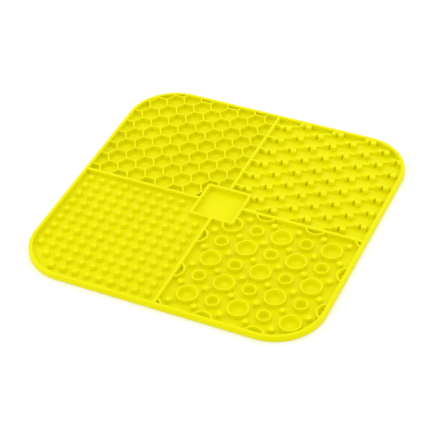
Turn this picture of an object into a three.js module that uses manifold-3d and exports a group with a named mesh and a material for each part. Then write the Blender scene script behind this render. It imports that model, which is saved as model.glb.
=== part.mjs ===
// A square silicone lick mat with rounded corners, for smearing soft pet food on.
//
// It is one moulding: a thin flat floor, a rim round its edge, two crossing dividers and a small
// square frame in the middle. The four fields between them each have a relief of their own:
// honeycomb ribs, scales, studs and rings.
//
// Units are millimetres. The mat lies flat, underside on z = 0, centred on the origin.
// +X runs along the front edge to the right, +Y towards the back edge.

import * as THREE from "three";
import { mergeVertices } from "three/addons/utils/BufferGeometryUtils.js";
import Module from "manifold-3d";

const wasm = await Module();
wasm.setup();

// The mat as a whole
const SIDE = 200;
const CORNER_RADIUS = 33;
const CORNER_STEPS = 7;
const HEIGHT = 4;
const FLOOR = 0.9;

// What divides it
const RIM_WIDTH = 2.6;
const DIVIDER_WIDTH = 2.3;
const FRAME_SIDE = 31.6;
const FRAME_WALL = 2.2;

// Every relief starts a little below the floor's surface and runs a little into its borders
const ROOT = 0.2;
const LAP = 0.3;
const RELIEF_BOTTOM = FLOOR - ROOT;

// A field lies between a divider and the rim; this is the distance of its middle from both dividers
const FIELD_NEAR = DIVIDER_WIDTH / 2;
const FIELD_FAR = SIDE / 2 - RIM_WIDTH;
const FIELD_MIDDLE = (FIELD_NEAR + FIELD_FAR) / 2;

// Back left: cells with two sides along X, a little longer in Y than regular ones
const HONEYCOMB = { columnPitch: 10.28, rowPitch: 12.6, columns: 10, rows: 9, rib: 1, draft: 0.25 };

// Back right: scales on a triangular lattice, each a fork of full height about a narrow slot, and a
// low ridge from the fork to the next one. Both outlines are measured from the slot's end.
const SCALES = { pitch: 13.62, columns: 8, rows: 8, shiftX: 0, shiftY: 6.3 };
const FORK = [
  { x: -3.6, y: -1.1 },
  { x: -1, y: -1.1 },
  { x: 0.25, y: 1.3 },
  { x: 1.5, y: -1.4 },
  { x: 5.1, y: -1.4 },
  { x: 4.6, y: 2.6 },
  { x: -3.1, y: 2.6 },
];
const RIDGE = { width: 2.4, height: 1.5 };
const RIDGE_LINE = [
  { x: 0.3, y: 1.9 },
  { x: 2.6, y: 5.5 },
  { x: 9.9, y: 7.4 },
];

// Front left: a square grid of square studs
const STUDS = { pitch: 8.4, perSide: 11, foot: 4.2, top: 3.6, clearance: 0.3 };

// Front right: large and small rings in turns on a square grid, a nub between each four
const RING_PITCH = 16.88;
const RINGS_PER_SIDE = 7;
const RING_KINDS = {
  large: { foot: 7.4, crest: 7.1, mouth: 6.2, well: 4.6, sides: 9 },
  small: { foot: 5.1, crest: 4.8, mouth: 3.9, well: 2.4, sides: 7 },
};
const NUB = { foot: 2.1, top: 1.8, sides: 4 };

/** A closed geometry as a solid that can be joined and cut. */
function solid(geometry) {
  const bare = geometry.clone();
  bare.deleteAttribute("normal");
  bare.deleteAttribute("uv");
  const merged = mergeVertices(bare, 1e-4);
  return new wasm.Manifold(new wasm.Mesh({
    numProp: 3,
    vertProperties: new Float32Array(merged.attributes.position.array),
    triVerts: new Uint32Array(merged.index.array),
  }));
}

/** Joins a list of solids into one. */
function join(solids) {
  return solids.reduce((whole, piece) => whole.add(piece));
}

/** The outline of a square with rounded corners, centred on the origin. */
function roundedSquare(side, radius) {
  const inset = side / 2 - radius;
  const corners = [[1, -1], [1, 1], [-1, 1], [-1, -1]];
  const points = corners.flatMap(([x, y], quarter) =>
    Array.from({ length: CORNER_STEPS + 1 }, (_, step) => {
      const angle = (quarter - 1 + step / CORNER_STEPS) * Math.PI / 2;
      return new THREE.Vector2(
        x * inset + radius * Math.cos(angle),
        y * inset + radius * Math.sin(angle),
      );
    }));
  return new THREE.Shape(points);
}

/** A rectangle between two corners. */
function rectangle(x0, y0, x1, y1) {
  return new THREE.Shape([
    new THREE.Vector2(x0, y0),
    new THREE.Vector2(x1, y0),
    new THREE.Vector2(x1, y1),
    new THREE.Vector2(x0, y1),
  ]);
}

/** An outline raised from one height to another. */
function slab(shape, bottom, top) {
  const geometry = new THREE.ExtrudeGeometry(shape, { depth: top - bottom, bevelEnabled: false });
  geometry.translate(0, 0, bottom);
  return solid(geometry);
}

/**
 * A tapered post: one radius at the floor, another at the top, and the same slope beyond them where
 * it starts lower or ends higher. Its first corner is turned by an angle from -Y.
 */
function post(foot, crest, sides, turn, bottom = RELIEF_BOTTOM, top = HEIGHT) {
  const radiusAt = (z) => foot + (crest - foot) * (z - FLOOR) / (HEIGHT - FLOOR);
  const geometry = new THREE.CylinderGeometry(radiusAt(top), radiusAt(bottom), top - bottom, sides);
  geometry.rotateX(Math.PI / 2);
  geometry.rotateZ(turn);
  geometry.translate(0, 0, (bottom + top) / 2);
  return solid(geometry);
}

/** A wall between two outlines of a rounded square. */
function squareWall(outerSide, outerRadius, wall) {
  const outer = slab(roundedSquare(outerSide, outerRadius), RELIEF_BOTTOM, HEIGHT);
  const innerRadius = Math.max(outerRadius - wall, 0.2);
  const inner = slab(roundedSquare(outerSide - 2 * wall, innerRadius), 0, 2 * HEIGHT);
  return outer.subtract(inner);
}

/** The part of one field that its relief may fill, for the signs of its x and y. */
function fieldRegion(signX, signY) {
  const near = FIELD_NEAR - LAP;
  const inside = SIDE - 2 * (RIM_WIDTH - LAP);
  const within = slab(roundedSquare(inside, CORNER_RADIUS - RIM_WIDTH + LAP), 0, HEIGHT);
  const quarter = slab(rectangle(
    signX > 0 ? near : -SIDE,
    signY > 0 ? near : -SIDE,
    signX > 0 ? SIDE : -near,
    signY > 0 ? SIDE : -near,
  ), 0, HEIGHT);
  const frameSide = FRAME_SIDE - 2 * LAP;
  const frame = slab(roundedSquare(frameSide, 1), -1, 2 * HEIGHT);
  return within.intersect(quarter).subtract(frame);
}

/** A full sheet of rib height less its cells, for the back left field. */
function honeycomb() {
  const { columnPitch, rowPitch, columns, rows, rib, draft } = HONEYCOMB;
  const radius = columnPitch / 1.5;
  const inner = radius - rib / Math.sqrt(3);
  const cell = post(inner - draft, inner + draft, 6, Math.PI / 6, 0, 2 * HEIGHT)
    .scale([1, rowPitch / (radius * Math.sqrt(3)), 1]);
  const cells = [];
  for (let column = 0; column < columns; column += 1) {
    for (let row = 0; row < rows; row += 1) {
      const x = -FIELD_MIDDLE + (column - (columns - 1) / 2) * columnPitch;
      const y = (row + (column % 2) / 2) * rowPitch;
      cells.push(cell.translate([x, y, 0]));
    }
  }
  const sheet = slab(rectangle(-SIDE / 2, 0, 0, SIDE / 2), RELIEF_BOTTOM, HEIGHT);
  return sheet.subtract(join(cells));
}

/** A band of one width along a line of points, raised from the relief's root to a height. */
function band(line, width, top) {
  const points = line.map(({ x, y }) => new THREE.Vector2(x, y));
  const across = points.map((point, index) => {
    const before = points[Math.max(index - 1, 0)];
    const after = points[Math.min(index + 1, points.length - 1)];
    const along = after.clone().sub(before).normalize();
    return new THREE.Vector2(along.y, -along.x).multiplyScalar(width / 2);
  });
  const right = points.map((point, index) => point.clone().add(across[index]));
  const left = points.map((point, index) => point.clone().sub(across[index])).reverse();
  return slab(new THREE.Shape([...right, ...left]), RELIEF_BOTTOM, top);
}

/** Columns of scales, every other one moved by half a pitch, for the back right field. */
function scales() {
  const { pitch, columns, rows, shiftX, shiftY } = SCALES;
  const columnPitch = pitch * Math.sqrt(3) / 2;
  const outline = new THREE.Shape(FORK.map(({ x, y }) => new THREE.Vector2(x, y)));
  const fork = slab(outline, RELIEF_BOTTOM, HEIGHT);
  const ridge = band(RIDGE_LINE, RIDGE.width, FLOOR + RIDGE.height);
  const all = [];
  for (let column = 0; column < columns; column += 1) {
    for (let row = -1; row < rows; row += 1) {
      const x = FIELD_MIDDLE + (column - (columns - 1) / 2) * columnPitch + shiftX;
      const y = (row + (column % 2) / 2) * pitch + shiftY;
      all.push(fork.translate([x, y, 0]));
      if (column < columns - 1) {
        all.push(ridge.translate([x, y, 0]));
      }
    }
  }
  return join(all);
}

/** Whether a stud fits beside the frame and inside the rim's round corner. */
function studFits(x, y) {
  const half = STUDS.foot / 2 + STUDS.clearance;
  const besideFrame = Math.abs(x) - half > FRAME_SIDE / 2 || Math.abs(y) - half > FRAME_SIDE / 2;
  const centre = SIDE / 2 - CORNER_RADIUS;
  const pastCentreX = Math.max(Math.abs(x) - centre, 0);
  const pastCentreY = Math.max(Math.abs(y) - centre, 0);
  const insideCorner = Math.hypot(pastCentreX, pastCentreY) + half < CORNER_RADIUS - RIM_WIDTH;
  return besideFrame && insideCorner;
}

/** The studs of the front left field. */
function studs() {
  const { pitch, perSide, foot, top } = STUDS;
  const stud = post(foot / Math.SQRT2, top / Math.SQRT2, 4, Math.PI / 4);
  const all = [];
  for (let column = 0; column < perSide; column += 1) {
    for (let row = 0; row < perSide; row += 1) {
      const x = -FIELD_MIDDLE + (column - (perSide - 1) / 2) * pitch;
      const y = -FIELD_MIDDLE + (row - (perSide - 1) / 2) * pitch;
      if (studFits(x, y)) {
        all.push(stud.translate([x, y, 0]));
      }
    }
  }
  return join(all);
}

/** A ring whose inside slopes down to a small flat well. */
function ring({ foot, crest, mouth, well, sides }) {
  const bowl = post(well, mouth, sides, 0, 0, 2 * HEIGHT);
  return post(foot, crest, sides, 0).subtract(bowl);
}

/** The rings and nubs of the front right field. */
function rings() {
  const middle = (RINGS_PER_SIDE - 1) / 2;
  const place = (index) => (index - middle) * RING_PITCH;
  const large = ring(RING_KINDS.large);
  const small = ring(RING_KINDS.small);
  const nub = post(NUB.foot, NUB.top, NUB.sides, 0);
  const all = [];
  for (let column = 0; column < RINGS_PER_SIDE; column += 1) {
    for (let row = 0; row < RINGS_PER_SIDE; row += 1) {
      const onBorder = [0, RINGS_PER_SIDE - 1].some((end) => column === end || row === end);
      const isLarge = (column + row) % 2 === 0;
      const at = [FIELD_MIDDLE + place(column), -FIELD_MIDDLE + place(row), 0];
      if (isLarge) {
        all.push(large.translate(at));
      } else if (!onBorder) {
        all.push(small.translate(at));
      }
      if (column < RINGS_PER_SIDE - 1 && row < RINGS_PER_SIDE - 1) {
        all.push(nub.translate([at[0] + RING_PITCH / 2, at[1] + RING_PITCH / 2, 0]));
      }
    }
  }
  return join(all);
}

/** The two dividers, from rim to rim, cleared where the centre frame stands. */
function dividers() {
  const half = SIDE / 2 - RIM_WIDTH + LAP;
  const width = DIVIDER_WIDTH / 2;
  const alongX = slab(rectangle(-half, -width, half, width), RELIEF_BOTTOM, HEIGHT);
  const alongY = slab(rectangle(-width, -half, width, half), RELIEF_BOTTOM, HEIGHT);
  const inside = FRAME_SIDE - 2 * FRAME_WALL + 2 * LAP;
  return alongX.add(alongY).subtract(slab(roundedSquare(inside, 1), 0, 2 * HEIGHT));
}

/** The whole moulding as one solid. */
function mat() {
  return join([
    slab(roundedSquare(SIDE, CORNER_RADIUS), 0, FLOOR),
    squareWall(SIDE, CORNER_RADIUS, RIM_WIDTH),
    squareWall(FRAME_SIDE, 1.6, FRAME_WALL),
    dividers(),
    honeycomb().intersect(fieldRegion(-1, 1)),
    scales().intersect(fieldRegion(1, 1)),
    studs().intersect(fieldRegion(-1, -1)),
    rings().intersect(fieldRegion(1, -1)),
  ]);
}

/** A solid's surface as a geometry. */
function surface(manifold) {
  const mesh = manifold.getMesh();
  const geometry = new THREE.BufferGeometry();
  geometry.setAttribute("position", new THREE.BufferAttribute(mesh.vertProperties, 3));
  geometry.setIndex(new THREE.BufferAttribute(mesh.triVerts, 1));
  geometry.computeVertexNormals();
  return geometry;
}

const silicone = new THREE.MeshStandardMaterial({ color: 0xeae504, roughness: 0.55, metalness: 0 });

const lickMat = new THREE.Group();
const moulding = new THREE.Mesh(surface(mat()), silicone);
moulding.name = "mat";
lickMat.add(moulding);

export default lickMat;
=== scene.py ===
"""A square silicone lick mat on a pale floor, seen from its front right.

The mat is one moulding. Its base (floor, rim, dividers and centre frame) and the relief of each of
its four fields are separate meshes here, each closed and sunk a little into the base.
"""
import math

import bpy
import numpy as np
from mathutils import Matrix, Vector


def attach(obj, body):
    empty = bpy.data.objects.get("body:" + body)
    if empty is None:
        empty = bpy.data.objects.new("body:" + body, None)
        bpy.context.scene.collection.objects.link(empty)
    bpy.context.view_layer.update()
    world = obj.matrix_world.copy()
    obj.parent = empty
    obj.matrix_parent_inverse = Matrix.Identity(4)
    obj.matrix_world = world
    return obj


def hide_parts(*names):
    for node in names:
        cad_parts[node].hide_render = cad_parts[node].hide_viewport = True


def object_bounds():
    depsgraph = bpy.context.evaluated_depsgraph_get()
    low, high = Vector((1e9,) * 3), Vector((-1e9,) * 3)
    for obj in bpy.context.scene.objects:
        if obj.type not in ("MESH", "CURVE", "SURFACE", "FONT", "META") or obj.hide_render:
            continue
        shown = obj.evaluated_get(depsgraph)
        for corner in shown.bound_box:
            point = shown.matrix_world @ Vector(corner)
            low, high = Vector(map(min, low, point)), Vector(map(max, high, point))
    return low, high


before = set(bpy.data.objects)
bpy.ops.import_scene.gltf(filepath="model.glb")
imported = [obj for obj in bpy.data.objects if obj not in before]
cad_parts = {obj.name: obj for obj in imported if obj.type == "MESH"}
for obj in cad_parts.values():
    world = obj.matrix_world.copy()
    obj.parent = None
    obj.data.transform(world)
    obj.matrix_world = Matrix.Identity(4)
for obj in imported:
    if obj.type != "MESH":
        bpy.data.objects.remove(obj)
cad_low, cad_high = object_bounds()

MM = 0.001

# The mat as a whole: its side and height come from the frame
SIDE = cad_high.x - cad_low.x
TOP = cad_high.z
FLOOR = 0.9 * MM
CORNER_RADIUS = 0.165 * SIDE

# What divides it
RIM_WIDTH = 2.6 * MM
DIVIDER_WIDTH = 2.3 * MM
FRAME_SIDE = 31.6 * MM
FRAME_WALL = 2.2 * MM
FRAME_CORNER = 1.6 * MM
FRAME_HOLE_CORNER = 1.0 * MM

# Edges of the moulding
ROUND = 0.3 * MM
FILLET = 0.3 * MM
DRAFT = 0.15 * MM
RIM_UNDER_ROUND = 0.35 * MM
RIM_CREST_ROUND = 0.6 * MM

# Steps of each arc: the mat's corners, the frame's, those of small outlines, and in profiles
CORNER_STEPS = 24
FRAME_CORNER_STEPS = 8
SMALL_CORNER_STEPS = 5
ARC_STEPS = 4

# A relief is a touch lower than its borders, starts below the floor and runs into its borders
RELIEF_TOP = TOP - 0.04 * MM
ROOT = 0.25 * MM
LAP = 0.5 * MM

# A field's inner and outer limits, as distances from the dividers' middle lines
FIELD_NEAR = DIVIDER_WIDTH / 2
FIELD_FAR = SIDE / 2 - RIM_WIDTH
FIELD_MIDDLE = (FIELD_NEAR + FIELD_FAR) / 2


# Outlines

def rounded_square(side, radius, steps=CORNER_STEPS):
    """Points round a square with rounded corners, anticlockwise, centred on the origin."""
    inset = side / 2 - radius
    points = []
    for quarter, (x, y) in enumerate([(1, -1), (1, 1), (-1, 1), (-1, -1)]):
        for step in range(steps + 1):
            angle = (quarter - 1 + step / steps) * math.pi / 2
            points.append((x * inset + radius * math.cos(angle),
                           y * inset + radius * math.sin(angle)))
    return np.array(points)


def circle(radius, steps):
    """Points round a circle, anticlockwise."""
    angle = np.arange(steps) * 2 * math.pi / steps
    return radius * np.stack([np.cos(angle), np.sin(angle)], 1)


def rounded_polygon(corners, radius):
    """An anticlockwise outline with its corners rounded to a radius, inward ones too."""
    corners = np.array(corners, float)
    points = []
    for index, corner in enumerate(corners):
        before = corners[index - 1] - corner
        after = corners[(index + 1) % len(corners)] - corner
        before /= np.linalg.norm(before)
        after /= np.linalg.norm(after)
        half_angle = math.acos(np.clip(before @ after, -1, 1)) / 2
        middle = before + after
        centre = corner + middle / np.linalg.norm(middle) * radius / math.sin(half_angle)
        start = corner + before * radius / math.tan(half_angle) - centre
        bend = after[0] * before[1] - after[1] * before[0]
        sweep = math.copysign(math.pi - 2 * half_angle, bend)
        for step in range(SMALL_CORNER_STEPS + 1):
            angle = sweep * step / SMALL_CORNER_STEPS
            cos, sin = math.cos(angle), math.sin(angle)
            points.append(centre + np.array([[cos, -sin], [sin, cos]]) @ start)
    return np.array(points)


def grow(outline, distance):
    """An outline whose sides are moved outwards by a distance, its points along their normals."""
    before = outline - np.roll(outline, 1, 0)
    after = np.roll(outline, -1, 0) - outline
    before /= np.linalg.norm(before, axis=1)[:, None]
    after /= np.linalg.norm(after, axis=1)[:, None]
    normal = np.stack([before[:, 1] + after[:, 1], -before[:, 0] - after[:, 0]], 1)
    length = np.linalg.norm(normal, axis=1)[:, None]
    return outline + normal / length * distance * 2 / length


def spread(count, pitch):
    """Evenly spaced distances, centred on zero."""
    return [(index - (count - 1) / 2) * pitch for index in range(count)]


# Profiles: pairs of distance outwards and height

def quarter_arc(centre, radius, first, last):
    """Points on an arc of a profile between two angles in degrees."""
    angles = np.radians(np.linspace(first, last, ARC_STEPS + 1))
    return [(centre[0] + radius * math.cos(a), centre[1] + radius * math.sin(a)) for a in angles]


def rib_profile(top=RELIEF_TOP, round_edge=ROUND, fillet=FILLET, draft=DRAFT):
    """The side of a rib from its root to its flat top: fillet, drafted wall and rounded edge."""
    foot = quarter_arc((draft + fillet, FLOOR + fillet), fillet, 270, 180)
    edge = quarter_arc((-round_edge, top - round_edge), round_edge, 0, 90)
    return [(draft + fillet, FLOOR - ROOT), *foot, *edge]


def pit_profile(top=RELIEF_TOP):
    """The side of a pit from under the floor to above the top, for a tool that cuts the pit."""
    well = quarter_arc((-DRAFT - FILLET, FLOOR + FILLET), FILLET, 270, 360)
    lip = quarter_arc((ROUND, top - ROUND), ROUND, 180, 90)
    return [(-DRAFT - FILLET, FLOOR - 2 * ROOT), *well, *lip, (ROUND, top + MM)]


# Meshes

def mesh_from(name, vertices, faces):
    """A mesh object, linked to the scene."""
    mesh = bpy.data.meshes.new(name)
    mesh.from_pydata([tuple(v) for v in vertices], [], faces)
    mesh.update()
    piece = bpy.data.objects.new(name, mesh)
    bpy.context.scene.collection.objects.link(piece)
    return piece


def at_height(outline, height):
    """An outline's points in space, all at one height."""
    return np.column_stack([outline, np.full(len(outline), height)])


def stacked(rings):
    """Vertices and faces of a closed solid: rings of points joined in turn, with flat ends."""
    count = len(rings[0])
    faces = []
    for level in range(len(rings) - 1):
        low, high = level * count, (level + 1) * count
        for index in range(count):
            following = (index + 1) % count
            faces.append((low + index, low + following, high + following, high + index))
    last = (len(rings) - 1) * count
    faces.append(tuple(range(count))[::-1])
    faces.append(tuple(range(last, last + count)))
    return np.concatenate(rings), faces


def loft(outline, profile):
    """Vertices and faces of a closed solid: an outline lofted through a profile."""
    return stacked([at_height(grow(outline, out), height) for out, height in profile])


def revolve(profile, steps):
    """Vertices and faces of a closed ring: a closed profile of radius and height turned about Z."""
    count = len(profile)
    vertices = []
    faces = []
    for step in range(steps):
        angle = 2 * math.pi * step / steps
        vertices += [(r * math.cos(angle), r * math.sin(angle), z) for r, z in profile]
        here, there = step * count, (step + 1) % steps * count
        for index in range(count):
            following = (index + 1) % count
            faces.append((here + index, there + index, there + following, here + following))
    return np.array(vertices), faces


def scattered(name, shapes):
    """One mesh object from many placed shapes, each a (vertices, faces, (x, y)) triple."""
    all_vertices, all_faces, start = [], [], 0
    for vertices, faces, (x, y) in shapes:
        all_vertices.append(vertices + np.array([x, y, 0]))
        all_faces += [tuple(start + i for i in face) for face in faces]
        start += len(vertices)
    return mesh_from(name, np.concatenate(all_vertices), all_faces)


def combine(piece, tool, operation):
    """Joins, cuts or trims a piece with a tool, which is used up."""
    modifier = piece.modifiers.new("combine", "BOOLEAN")
    modifier.operation = operation
    modifier.solver = "MANIFOLD"
    modifier.object = tool
    depsgraph = bpy.context.evaluated_depsgraph_get()
    made = bpy.data.meshes.new_from_object(piece.evaluated_get(depsgraph))
    old = piece.data
    piece.modifiers.clear()
    piece.data = made
    made.name = piece.name
    bpy.data.meshes.remove(old)
    tool_mesh = tool.data
    bpy.data.objects.remove(tool)
    bpy.data.meshes.remove(tool_mesh)
    return piece


def field_outline(sign_x, sign_y):
    """The outline of one field's relief: the quarter inside the rim, less the centre frame's."""
    near = FIELD_NEAR - LAP
    far = FIELD_FAR + LAP
    notch = FRAME_SIDE / 2 - LAP
    radius = CORNER_RADIUS - RIM_WIDTH + LAP
    centre = far - radius
    arc = [(centre + radius * math.cos(a), centre + radius * math.sin(a))
           for a in np.linspace(0, math.pi / 2, CORNER_STEPS + 1)]
    points = [(notch, near), (far, near), *arc, (near, far), (near, notch), (notch, notch)]
    points = np.array(points) * (sign_x, sign_y)
    return points if sign_x * sign_y > 0 else points[::-1]


def field_block(name, sign_x, sign_y, bottom, top):
    """A block that fills one field between two heights."""
    outline = field_outline(sign_x, sign_y)
    return mesh_from(name, *stacked([at_height(outline, bottom), at_height(outline, top)]))


def trimmed(piece, sign_x, sign_y):
    """A relief cut off at its field's borders."""
    tool = field_block("trim", sign_x, sign_y, FLOOR - 2 * ROOT, TOP + MM)
    return combine(piece, tool, "INTERSECT")


# The base

def base_slab():
    """The floor with its rim, as one loft from the underside over the rim to the floor."""
    under, crest = RIM_UNDER_ROUND, RIM_CREST_ROUND
    profile = [
        *quarter_arc((-under, under), under, 270, 360),
        *quarter_arc((-crest - DRAFT, TOP - crest), crest, 0, 90),
        *quarter_arc((-RIM_WIDTH + ROUND, TOP - ROUND), ROUND, 90, 180),
        *quarter_arc((-RIM_WIDTH - DRAFT - FILLET, FLOOR + FILLET), FILLET, 0, -90),
    ]
    rings = [at_height(rounded_square(SIDE + 2 * out, CORNER_RADIUS + out), height)
             for out, height in profile]
    return mesh_from("mat_base", *stacked(rings))


def centre_frame():
    """The square frame round the mat's middle."""
    outer = rounded_square(FRAME_SIDE, FRAME_CORNER, FRAME_CORNER_STEPS)
    inner = rounded_square(FRAME_SIDE - 2 * FRAME_WALL, FRAME_HOLE_CORNER, FRAME_CORNER_STEPS)
    piece = mesh_from("centre_frame", *loft(outer, rib_profile(TOP)))
    hole = mesh_from("centre_hole", *loft(inner, pit_profile(TOP)))
    return combine(piece, hole, "DIFFERENCE")


def divider_bars():
    """Four bars from the centre frame's sides to the rim."""
    start = FRAME_SIDE / 2 - FRAME_WALL / 2
    end = SIDE / 2 - RIM_WIDTH / 2
    half = DIVIDER_WIDTH / 2
    bar = np.array([(start, -half), (end, -half), (end, half), (start, half)])
    shapes = []
    for cos, sin in [(1, 0), (0, 1), (-1, 0), (0, -1)]:
        outline = bar @ np.array([[cos, sin], [-sin, cos]])
        shapes.append((*loft(outline, rib_profile(TOP)), (0, 0)))
    return scattered("dividers", shapes)


def make_base():
    """Floor, rim, dividers and centre frame as one mesh."""
    piece = combine(base_slab(), centre_frame(), "UNION")
    return combine(piece, divider_bars(), "UNION")


# Back left: honeycomb

HONEYCOMB = {"column_pitch": 10.28 * MM, "row_pitch": 12.6 * MM, "rib": 1.0 * MM, "corner": 0.8 * MM}
HONEYCOMB_COLUMNS = 10
HONEYCOMB_ROWS = 9

# Added to each side of a rib, because rounding its edges makes it look narrower
RIB_ALLOWANCE = ROUND / 4


def make_honeycomb():
    """Ribs round cells with two sides along X, as a block with a pit for each cell."""
    row_pitch = HONEYCOMB["row_pitch"]
    radius = HONEYCOMB["column_pitch"] / 1.5
    stretch = row_pitch / (radius * math.sqrt(3))
    cell = rounded_polygon(circle(radius, 6) * (1, stretch), HONEYCOMB["corner"])
    pit = loft(grow(cell, -HONEYCOMB["rib"] / 2 - RIB_ALLOWANCE), pit_profile())
    shapes = []
    for column, offset in enumerate(spread(HONEYCOMB_COLUMNS, HONEYCOMB["column_pitch"])):
        for row in range(HONEYCOMB_ROWS):
            y = (row + (column % 2) / 2) * row_pitch
            shapes.append((*pit, (-FIELD_MIDDLE + offset, y)))
    block = field_block("honeycomb", -1, 1, FLOOR - ROOT, RELIEF_TOP)
    return combine(block, scattered("pits", shapes), "DIFFERENCE")


# Back right: scales, each a fork of full height about a narrow slot, and a low ridge to the next

SCALE_PITCH = 13.62 * MM
SCALE_SHIFT_Y = 6.3 * MM
SCALE_COLUMNS = 8

# Row -1 is the one that the front divider cuts through
SCALE_ROWS = range(-1, 8)

# In millimetres from the slot's end: the fork's outline, the middle line of the ridge behind it,
# and the outline of the web that ties each fork of the first column to the divider
FORK_CORNERS = [(-3.6, -1.1), (-1.0, -1.1), (-0.1, 1.2), (0.6, 1.2),
                (1.5, -1.4), (5.1, -1.4), (4.6, 2.6), (-3.1, 2.6)]
RIDGE_POINTS = [(0.3, 1.9), (2.6, 5.5), (9.9, 7.4)]
WEB_CORNERS = [(-7.4, 0.6), (-2.4, 0.6), (-2.4, 2.4), (-7.4, 2.4)]

FORK_CORNER = 0.45 * MM
FORK_EDGES = {"round_edge": 0.35 * MM, "fillet": 0.1 * MM, "draft": 0.3 * MM}
RIDGE = {"width": 2.4 * MM, "height": 1.5 * MM, "corner": 1.0 * MM}
RIDGE_EDGES = {"round_edge": 0.6 * MM, "draft": 0.4 * MM}


def ridge_corners():
    """The corners of a band of one width along the ridge's middle line."""
    points = np.array(RIDGE_POINTS) * MM
    along = np.array([points[1] - points[0], points[2] - points[0], points[2] - points[1]])
    along /= np.linalg.norm(along, axis=1)[:, None]
    across = np.stack([along[:, 1], -along[:, 0]], 1) * RIDGE["width"] / 2
    return np.concatenate([points + across, (points - across)[::-1]])


def make_scales():
    """Columns of forks, every other one moved by half a pitch, tied together by ridges."""
    tall = rib_profile(**FORK_EDGES)
    low = rib_profile(FLOOR + RIDGE["height"], **RIDGE_EDGES)
    fork = loft(rounded_polygon(np.array(FORK_CORNERS) * MM, FORK_CORNER), tall)
    web = loft(rounded_polygon(np.array(WEB_CORNERS) * MM, FORK_CORNER), tall)
    ridge = loft(rounded_polygon(ridge_corners(), RIDGE["corner"]), low)
    forks, ties = [], []
    for column, offset in enumerate(spread(SCALE_COLUMNS, SCALE_PITCH * math.sqrt(3) / 2)):
        for row in SCALE_ROWS:
            y = (row + (column % 2) / 2) * SCALE_PITCH + SCALE_SHIFT_Y
            place = (FIELD_MIDDLE + offset, y)
            forks.append((*fork, place))
            if column < SCALE_COLUMNS - 1:
                ties.append((*ridge, place))
            if column == 0:
                ties.append((*web, place))
    return trimmed(combine(scattered("scales", forks), scattered("ties", ties), "UNION"), 1, 1)


# Front left: studs

STUD_PITCH = 8.4 * MM
STUDS_PER_SIDE = 11
STUD_SIDE = 3.6 * MM
STUD_CORNER = 0.9 * MM
STUD_EDGES = {"round_edge": 0.7 * MM, "draft": 0.45 * MM}
STUD_CLEARANCE = 0.45 * MM


def stud_fits(x, y):
    """Whether a stud fits beside the frame and inside the rim's round corner."""
    half = STUD_SIDE / 2 + STUD_CLEARANCE
    beside_frame = max(abs(x), abs(y)) - half > FRAME_SIDE / 2
    centre = SIDE / 2 - CORNER_RADIUS
    past = math.hypot(max(abs(x) - centre, 0), max(abs(y) - centre, 0))
    return beside_frame and past + half < CORNER_RADIUS - RIM_WIDTH


def make_studs():
    """A square grid of studs."""
    outline = rounded_square(STUD_SIDE, STUD_CORNER, SMALL_CORNER_STEPS)
    stud = loft(outline, rib_profile(**STUD_EDGES))
    line = [-FIELD_MIDDLE + offset for offset in spread(STUDS_PER_SIDE, STUD_PITCH)]
    places = [(x, y) for x in line for y in line if stud_fits(x, y)]
    return scattered("studs", [(*stud, place) for place in places])


# Front right: rings

RING_PITCH = 16.88 * MM
RINGS_PER_SIDE = 7
LARGE_RING = {"crest": 7.15 * MM, "wall": 1.3 * MM, "well": 4.6 * MM, "steps": 48}
SMALL_RING = {"crest": 4.85 * MM, "wall": 1.25 * MM, "well": 2.4 * MM, "steps": 40}
WELL_BEVEL = 0.25 * MM

# The angle at which a crest's inner rounding passes into the slope to the well
LIP_ANGLE = math.radians(72)

NUB_RADIUS = 2.0 * MM
NUB_STEPS = 20


def ring_shape(kind):
    """A ring with a drafted outside and an inside that slopes down to a small flat well."""
    outer = [(kind["crest"] + out, height) for out, height in rib_profile()]
    mouth = kind["crest"] - kind["wall"]
    lip = [(mouth + ROUND - ROUND * math.sin(a), RELIEF_TOP - ROUND + ROUND * math.cos(a))
           for a in np.linspace(0, LIP_ANGLE, ARC_STEPS)]
    well = kind["well"]
    inside = [(well + WELL_BEVEL, FLOOR + WELL_BEVEL), (well, FLOOR), (well, FLOOR - ROOT)]
    return revolve([*outer, *lip, *inside], kind["steps"])


def make_rings():
    """Large and small rings in turns, and a nub between each four."""
    large = ring_shape(LARGE_RING)
    small = ring_shape(SMALL_RING)
    nub = loft(circle(NUB_RADIUS, NUB_STEPS), rib_profile())
    offsets = spread(RINGS_PER_SIDE, RING_PITCH)
    last = RINGS_PER_SIDE - 1
    shapes = []
    for column in range(RINGS_PER_SIDE):
        for row in range(RINGS_PER_SIDE):
            x = FIELD_MIDDLE + offsets[column]
            y = -FIELD_MIDDLE + offsets[row]
            on_border = column in (0, last) or row in (0, last)
            if (column + row) % 2 == 0:
                shapes.append((*large, (x, y)))
            elif not on_border:
                shapes.append((*small, (x, y)))
            if column < last and row < last:
                shapes.append((*nub, (x + RING_PITCH / 2, y + RING_PITCH / 2)))
    return trimmed(scattered("rings", shapes), 1, -1)


# Materials

# Silicone in linear colours: two yellows in clouds, a paler one on the crests for wear and painted
# light, and the gloss's tint
DEEP_YELLOW = (0.75, 0.715, 0.0005, 1)
CLEAR_YELLOW = (0.78, 0.745, 0.001, 1)
WORN_AND_LIT_YELLOW = (0.80, 0.775, 0.008, 1)
GLOSS_TINT = (1.0, 0.95, 0.0, 1)
IOR = 1.41
SPECULAR_LEVEL = 0.2
ROUGHNESS = (0.42, 0.56)

# Wear and painted light reach down from the top by their depth, and pale the crests by their share
# at most
WEAR_AND_LIGHT_DEPTH = 0.5 * MM
WEAR_AND_LIGHT_SHARE = 0.1

# Noises, each with its scale per metre and its detail, and the part of their range that is used
CLOUDS = (30, 3)
SHEEN_PATCHES = (700, 2)
GRAIN = (5000, 2)
NOISE_RANGE = (0.3, 0.7)
GRAIN_STRENGTH = 0.12
GRAIN_HEIGHT = 0.05 * MM

# A Mix node's colour sockets
MIX_FIRST = 6
MIX_SECOND = 7
MIX_RESULT = 2

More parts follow.
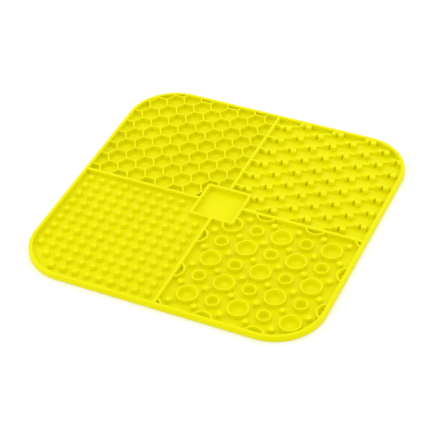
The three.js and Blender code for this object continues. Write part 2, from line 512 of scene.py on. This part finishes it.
# The studio floor's paint
PAINT_ROUGHNESS = 0.9
PAINT_PATCH_SCALE = 4
PAINT_TONES = (0.90, 0.93)

# Edges sharper than this stay sharp, and large faces outweigh their rounded edges
SHARP_ANGLE = math.radians(40)
FLAT_FACE_WEIGHT = 90


def silicone():
    """Matt yellow silicone: cloudy tint, crests paled by wear and by painted light, patches of sheen
    and a fine moulded grain.
    """
    material = bpy.data.materials.new("silicone")
    material.use_nodes = True
    nodes, links = material.node_tree.nodes, material.node_tree.links
    shader = nodes["Principled BSDF"]
    shader.inputs["IOR"].default_value = IOR
    shader.inputs["Specular IOR Level"].default_value = SPECULAR_LEVEL
    shader.inputs["Specular Tint"].default_value = GLOSS_TINT
    place = nodes.new("ShaderNodeTexCoord")

    def noise(scale, detail):
        node = nodes.new("ShaderNodeTexNoise")
        node.inputs["Scale"].default_value = scale
        node.inputs["Detail"].default_value = detail
        links.new(place.outputs["Object"], node.inputs["Vector"])
        return node.outputs["Fac"]

    def mapped(source, source_range, target_range):
        node = nodes.new("ShaderNodeMapRange")
        node.inputs["From Min"].default_value = source_range[0]
        node.inputs["From Max"].default_value = source_range[1]
        node.inputs["To Min"].default_value = target_range[0]
        node.inputs["To Max"].default_value = target_range[1]
        links.new(source, node.inputs["Value"])
        return node.outputs["Result"]

    def blended(factor, first, second):
        node = nodes.new("ShaderNodeMix")
        node.data_type = "RGBA"
        links.new(factor, node.inputs["Factor"])
        for socket, value in ((node.inputs[MIX_FIRST], first), (node.inputs[MIX_SECOND], second)):
            if isinstance(value, tuple):
                socket.default_value = value
            else:
                links.new(value, socket)
        return node.outputs[MIX_RESULT]

    cloud = mapped(noise(*CLOUDS), NOISE_RANGE, (0, 1))
    tint = blended(cloud, DEEP_YELLOW, CLEAR_YELLOW)
    split = nodes.new("ShaderNodeSeparateXYZ")
    links.new(place.outputs["Object"], split.inputs["Vector"])
    # The crests pale towards the top: partly wear, partly painted light on the tops
    wear_and_light = mapped(split.outputs["Z"], (TOP - WEAR_AND_LIGHT_DEPTH, TOP), (0, WEAR_AND_LIGHT_SHARE))
    links.new(blended(wear_and_light, tint, WORN_AND_LIT_YELLOW), shader.inputs["Base Color"])
    links.new(mapped(noise(*SHEEN_PATCHES), NOISE_RANGE, ROUGHNESS), shader.inputs["Roughness"])
    bump = nodes.new("ShaderNodeBump")
    bump.inputs["Strength"].default_value = GRAIN_STRENGTH
    bump.inputs["Distance"].default_value = GRAIN_HEIGHT
    links.new(noise(*GRAIN), bump.inputs["Height"])
    links.new(bump.outputs["Normal"], shader.inputs["Normal"])
    return material


def floor_paint():
    """A plain white studio floor with a barely uneven tone."""
    material = bpy.data.materials.new("studio_floor")
    material.use_nodes = True
    nodes, links = material.node_tree.nodes, material.node_tree.links
    shader = nodes["Principled BSDF"]
    shader.inputs["Roughness"].default_value = PAINT_ROUGHNESS
    noise = nodes.new("ShaderNodeTexNoise")
    noise.inputs["Scale"].default_value = PAINT_PATCH_SCALE
    ramp = nodes.new("ShaderNodeValToRGB")
    for stop, tone in zip(ramp.color_ramp.elements, PAINT_TONES):
        stop.color = (tone, tone, tone, 1)
    links.new(noise.outputs["Fac"], ramp.inputs["Fac"])
    links.new(ramp.outputs["Color"], shader.inputs["Base Color"])
    return material


def finish_piece(piece, material):
    """Smooth shading that keeps flat faces flat, the material, and the piece's body."""
    mesh = piece.data
    mesh.materials.clear()
    mesh.materials.append(material)
    mesh.shade_smooth()
    mesh.set_sharp_from_angle(angle=SHARP_ANGLE)
    weighted = piece.modifiers.new("flat_faces", "WEIGHTED_NORMAL")
    weighted.keep_sharp = True
    weighted.weight = FLAT_FACE_WEIGHT
    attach(piece, "root")


# The studio

# The photograph's camera: angles in degrees, lengths in mat sides, focal length in its pixels
AZIMUTH, ELEVATION, ROLL = 26.878, 41.319, -3.366
DISTANCE = 4.853
AIM_RIGHT, AIM_UP = -0.0144, -0.0283
FOCAL_PIXELS = 1496.64
PHOTO_PIXELS = 433
SENSOR_WIDTH = 36
CLIP_START, CLIP_END = 0.01, 20

# The surround's brightness, the floor's half side, and each light's name, place, size and power
SURROUND_STRENGTH = 1.06
STUDIO_HALF_SIDE = 4.0
LIGHTS = [
    ("left", (-1.0, -0.4, 0.7), 0.8, 2.4),
    ("right", (1.0, 0.5, 0.8), 0.8, 1.6),
    ("behind", (-0.1, 1.1, 1.0), 0.9, 2.0),
]


def make_camera():
    """The photograph's view, aimed a little beside the mat's middle."""
    azimuth, elevation, roll = (math.radians(angle) for angle in (AZIMUTH, ELEVATION, ROLL))
    data = bpy.data.cameras.new("camera")
    data.sensor_width = SENSOR_WIDTH
    data.lens = FOCAL_PIXELS / PHOTO_PIXELS * SENSOR_WIDTH
    data.clip_start, data.clip_end = CLIP_START, CLIP_END
    camera = bpy.data.objects.new("camera", data)
    bpy.context.scene.collection.objects.link(camera)
    back = Vector((math.sin(azimuth) * math.cos(elevation),
                   -math.cos(azimuth) * math.cos(elevation),
                   math.sin(elevation)))
    level_right = Vector((math.cos(azimuth), math.sin(azimuth), 0))
    level_up = back.cross(level_right)
    right = math.cos(roll) * level_right + math.sin(roll) * level_up
    up = math.cos(roll) * level_up - math.sin(roll) * level_right
    place = back * (DISTANCE * SIDE) + right * (AIM_RIGHT * SIDE) + up * (AIM_UP * SIDE)
    turn = Matrix((right, up, back)).transposed().to_4x4()
    camera.matrix_world = Matrix.Translation(place) @ turn
    bpy.context.scene.camera = camera


def make_light(name, place, size, power):
    """A soft square light aimed at the mat's middle."""
    data = bpy.data.lights.new(name, "AREA")
    data.size = size
    data.energy = power
    light = bpy.data.objects.new(name, data)
    light.location = place
    light.rotation_euler = (-Vector(place)).to_track_quat("-Z", "Y").to_euler()
    bpy.context.scene.collection.objects.link(light)


def make_studio():
    """A pale floor, a white surround and soft lights from the left, the right and behind."""
    corners = [(x * STUDIO_HALF_SIDE, y * STUDIO_HALF_SIDE, 0)
               for x, y in ((-1, -1), (1, -1), (1, 1), (-1, 1))]
    floor = mesh_from("studio_floor", corners, [(0, 1, 2, 3)])
    floor.data.materials.append(floor_paint())
    world = bpy.data.worlds.new("studio")
    world.use_nodes = True
    background = world.node_tree.nodes["Background"]
    background.inputs["Color"].default_value = (1, 1, 1, 1)
    background.inputs["Strength"].default_value = SURROUND_STRENGTH
    bpy.context.scene.world = world
    for light in LIGHTS:
        make_light(*light)
    bpy.context.scene.view_settings.view_transform = "Standard"


make_camera()
make_studio()
silicone_material = silicone()
base = make_base()
reliefs = [make_honeycomb(), make_scales(), make_studs(), make_rings()]
for part in (base, *reliefs):
    finish_piece(part, silicone_material)
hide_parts("mat")
